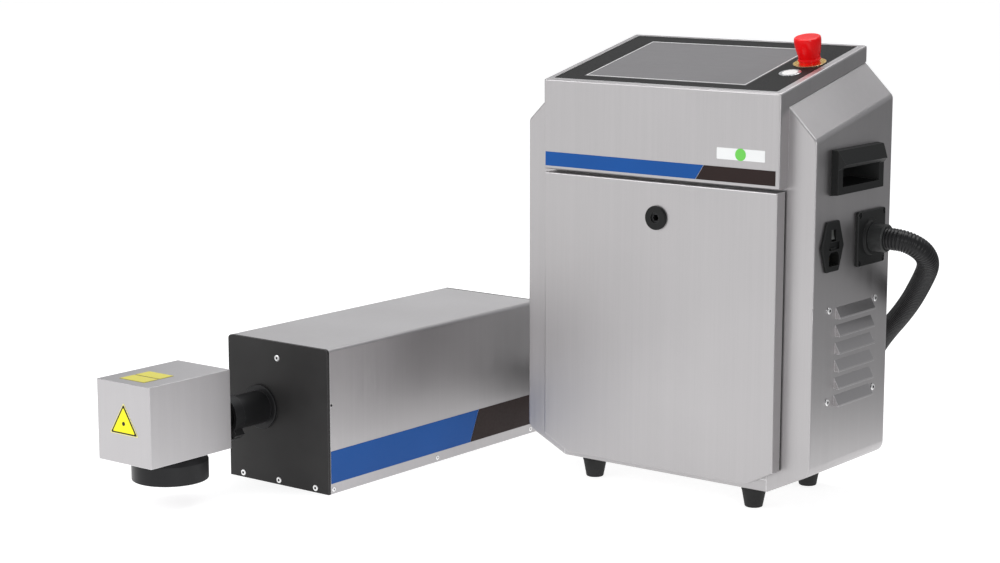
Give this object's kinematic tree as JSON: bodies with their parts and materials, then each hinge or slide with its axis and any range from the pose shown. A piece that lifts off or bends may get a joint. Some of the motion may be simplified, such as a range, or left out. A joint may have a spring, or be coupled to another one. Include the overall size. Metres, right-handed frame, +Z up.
{
  "type": "laser date coder",
  "caption": "Benchtop date coding machine: stainless control cabinet with a sloping touch screen, joined by a ribbed hose to a laser head with a scan head and lens.",
  "frame": {"origin": "on the floor, at the middle of the plan box of the cabinet and the laser head, without the umbilical", "axes": "+X from the laser head towards the cabinet, -Y towards the front of both units, +Z up"},
  "size_m": [0.7427, 0.9877, 0.5406],
  "materials": {
    "stainless_steel": "vertically brushed stainless sheet",
    "head_steel": "brushed stainless sheet",
    "dark_plate": "black anodised, fine satin",
    "black_panel": "satin black film",
    "screen_glass": "dark grey glass of a switched-off screen",
    "black_plastic": "fine moulded grain",
    "dark_grey_plastic": "fine moulded grain",
    "grey_plastic": "smooth moulded",
    "white_plastic": "satin moulded",
    "red_plastic": "glossy moulded",
    "gold_ring": "polished",
    "bright_metal": "satin plated",
    "black_metal": "black anodised",
    "rubber": "matte",
    "foam_rubber": "matte foam",
    "brass": "satin",
    "hose_polymer": "ribbed flexible conduit, slightly shiny",
    "aluminium": "satin milled",
    "mirror": "polished",
    "coated_glass": "coated lens",
    "circuit_board": "green solder mask"
  },
  "bodies": {
    "root": {"base_pan": "stainless_steel", "beam_expander": "aluminium", "beam_tube": "black_metal", "button_bezel": "bright_metal", "cabinet_screws": "bright_metal", "control_panel": "black_panel", "display_module": "dark_grey_plastic", "door_seal": "foam_rubber", "driver_board": "circuit_board", "estop_collar": "gold_ring", "estop_contacts": "black_plastic", "fan_frame": "black_plastic", "front_frame": "stainless_steel", "galvo_block": "aluminium", "galvo_motors": "aluminium", "handle_left": "black_plastic", "handle_right": "black_plastic", "head_base": "aluminium", "head_cover": "head_steel", "head_front_plate": "dark_plate", "head_gland": "aluminium", "head_rear_plate": "dark_plate", "head_screws": "bright_metal", "hood_cover": "stainless_steel", "hose_cabinet_run": "hose_polymer", "hose_coil": "hose_polymer", "hose_cuff": "grey_plastic", "hose_flange": "dark_grey_plastic", "hose_head_run": "hose_polymer", "inlet_housing": "black_plastic", "inlet_pins": "brass", "laser_driver": "aluminium", "laser_source": "aluminium", "left_side_panel": "stainless_steel", "lens_barrel": "black_metal", "lens_glass": "coated_glass", "marking_controller": "aluminium", "mounting_plate": "aluminium", "power_supply": "aluminium", "rear_panel": "stainless_steel", "right_side_panel": "stainless_steel", "rubber_feet": "rubber", "scan_base": "aluminium", "scan_housing": "head_steel", "scan_neck": "black_metal", "touch_screen": "screen_glass", "tube_clamp": "black_metal"},
    "door": {"door_panel": "stainless_steel", "lock_housing": "black_plastic", "hinge_pins": "bright_metal"},
    "lock": {"lock_core": "black_metal", "lock_cam": "bright_metal"},
    "stop_plunger": {"estop_plunger": "red_plastic"},
    "stop_head": {"estop_head": "red_plastic"},
    "power_button": {"button_cap": "white_plastic"},
    "rocker": {"rocker_switch": "grey_plastic"},
    "fuse_tray": {"fuse_drawer": "black_plastic"},
    "fan": {"fan_rotor": "black_plastic"},
    "scan_mirror_x": {"mirror_x": "mirror"},
    "scan_mirror_y": {"mirror_y": "mirror"}
  },
  "joints": [
    {"name": "door_hinge", "type": "hinge", "parent": "root", "child": "door", "pos_m": [0.12525, 0.12545, 0.0385], "axis": [1, 0, 0], "range_deg": [0, 90]},
    {"name": "lock_turn", "type": "hinge", "parent": "door", "child": "lock", "pos_m": [0.12525, 0.12095, 0.3307], "axis": [0, 1, 0], "range_deg": [0, 90]},
    {"name": "estop_press", "type": "slide", "parent": "root", "child": "stop_plunger", "axis": [0, 0.2218, -0.9751], "range_m": [0, 0.003], "stiffness_N_per_m": 900, "springref_m": -0.001},
    {"name": "estop_twist", "type": "hinge", "parent": "stop_plunger", "child": "stop_head", "pos_m": [0.25575, 0.22031, 0.52689], "axis": [0, -0.2218, 0.9751], "range_deg": [0, 45], "stiffness_Nm_per_rad": 0.05},
    {"name": "power_press", "type": "slide", "parent": "root", "child": "power_button", "axis": [0, 0.2218, -0.9751], "range_m": [0, 0.002], "stiffness_N_per_m": 600, "springref_m": -0.001},
    {"name": "mains_rocker", "type": "hinge", "parent": "root", "child": "rocker", "pos_m": [0.31885, 0.16615, 0.3222], "axis": [0, 1, 0], "range_deg": [0, 20]},
    {"name": "fuse_pull", "type": "slide", "parent": "root", "child": "fuse_tray", "axis": [1, 0, 0], "range_m": [0, 0.015]},
    {"name": "fan_spin", "type": "hinge", "parent": "root", "child": "fan", "pos_m": [0.30525, 0.21725, 0.1843], "axis": [1, 0, 0], "continuous": true},
    {"name": "mirror_x_turn", "type": "hinge", "parent": "root", "child": "scan_mirror_x", "pos_m": [-0.28765, -0.25315, 0.092], "axis": [0, 0, 1], "range_deg": [-11, 11]},
    {"name": "mirror_y_turn", "type": "hinge", "parent": "root", "child": "scan_mirror_y", "pos_m": [-0.30265, -0.25315, 0.092], "axis": [0, 1, 0], "range_deg": [-11, 11]}
  ]
}
